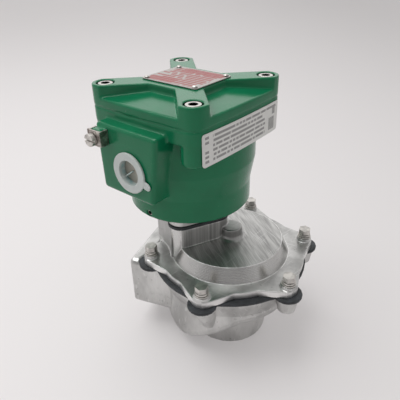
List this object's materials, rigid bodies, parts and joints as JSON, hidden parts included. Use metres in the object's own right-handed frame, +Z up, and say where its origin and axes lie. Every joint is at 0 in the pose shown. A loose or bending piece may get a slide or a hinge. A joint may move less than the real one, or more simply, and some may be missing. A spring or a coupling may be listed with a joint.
{
  "type": "pulse valve",
  "caption": "Right-angle diaphragm pulse valve for a dust collector: cast body and bolted bonnet with a solenoid pilot in a painted enclosure with a plugged conduit entry.",
  "frame": {"origin": "centre of the footprint of the whole valve, at the height of the outlet spigot's end face, which it stands on", "axes": "+Z is up, along the outlet spigot's axis and the enclosure's axis; the inlet port faces -X; the conduit entry faces mostly -Y"},
  "size_m": [0.1484, 0.14, 0.2019],
  "materials": {
    "cast_aluminium": "raw die cast, brushed on the bonnet's crown, machined on the joint faces",
    "black_rubber": "matt moulded rubber",
    "plated_steel": "zinc plated",
    "stainless_steel": "bright stainless steel",
    "black_moulding": "moulded resin",
    "green_paint": "glossy green enamel on an aluminium casting",
    "silver_plate": "thin satin plate with red print",
    "white_label": "self-adhesive film with grey bars",
    "pale_plastic": "translucent polyethylene"
  },
  "bodies": {
    "fixed_valve": {"valve_body": "cast_aluminium", "bonnet": "cast_aluminium", "pilot_cap": "cast_aluminium", "main_diaphragm": "black_rubber", "pilot_diaphragm": "black_rubber", "core_tube_seal": "black_rubber", "cover_seal": "black_rubber", "main_spring": "stainless_steel", "pilot_spring": "stainless_steel", "plunger_spring": "stainless_steel", "bonnet_bolt_1": "stainless_steel", "bonnet_bolt_2": "stainless_steel", "bonnet_bolt_3": "stainless_steel", "bonnet_bolt_4": "stainless_steel", "bonnet_bolt_5": "stainless_steel", "bonnet_bolt_6": "stainless_steel", "bonnet_washer_1": "stainless_steel", "bonnet_washer_2": "stainless_steel", "bonnet_washer_3": "stainless_steel", "bonnet_washer_4": "stainless_steel", "bonnet_washer_5": "stainless_steel", "bonnet_washer_6": "stainless_steel", "bonnet_spring_washer_1": "stainless_steel", "bonnet_spring_washer_2": "stainless_steel", "bonnet_spring_washer_3": "stainless_steel", "bonnet_spring_washer_4": "stainless_steel", "bonnet_spring_washer_5": "stainless_steel", "bonnet_spring_washer_6": "stainless_steel", "pilot_cap_screw_1": "stainless_steel", "pilot_cap_screw_2": "stainless_steel", "pilot_cap_screw_3": "stainless_steel", "pilot_cap_screw_4": "stainless_steel", "core_tube": "stainless_steel", "coil": "black_moulding", "coil_yoke": "plated_steel", "coil_clip": "plated_steel", "terminal_block": "black_moulding", "solenoid_housing": "green_paint", "housing_cover": "green_paint", "cover_screw_1": "stainless_steel", "cover_screw_2": "stainless_steel", "cover_screw_3": "stainless_steel", "cover_screw_4": "stainless_steel", "set_screw": "stainless_steel", "earth_clamp": "stainless_steel", "earth_screw": "stainless_steel", "nameplate": "silver_plate", "nameplate_rivet_1": "stainless_steel", "nameplate_rivet_2": "stainless_steel", "nameplate_rivet_3": "stainless_steel", "nameplate_rivet_4": "stainless_steel", "side_label": "white_label"},
    "main_disc": {"diaphragm_top_plate": "plated_steel", "diaphragm_seat_plate": "plated_steel", "diaphragm_stud": "stainless_steel", "diaphragm_nut": "stainless_steel"},
    "pilot_piston": {"pilot_disc": "plated_steel"},
    "solenoid_plunger": {"plunger": "stainless_steel", "plunger_disc": "black_rubber"},
    "dust_plug": {"entry_plug": "pale_plastic"}
  },
  "joints": [
    {"name": "main_valve_lift", "type": "slide", "parent": "fixed_valve", "child": "main_disc", "axis": [0, 0, 1], "range_m": [0, 0.0075], "stiffness_N_per_m": 1500, "springref_m": -0.005, "deforming": ["main_diaphragm", "main_spring"]},
    {"name": "pilot_valve_lift", "type": "slide", "parent": "fixed_valve", "child": "pilot_piston", "axis": [0, 0, 1], "range_m": [0, 0.0015], "stiffness_N_per_m": 600, "springref_m": -0.002, "deforming": ["pilot_diaphragm", "pilot_spring"]},
    {"name": "plunger_lift", "type": "slide", "parent": "fixed_valve", "child": "solenoid_plunger", "axis": [0, 0, 1], "range_m": [0, 0.0018], "stiffness_N_per_m": 400, "springref_m": -0.005, "deforming": ["plunger_spring"]},
    {"name": "entry_plug_pull", "type": "slide", "parent": "fixed_valve", "child": "dust_plug", "axis": [-0.3156, -0.9489, 0], "range_m": [0, 0.03]}
  ]
}
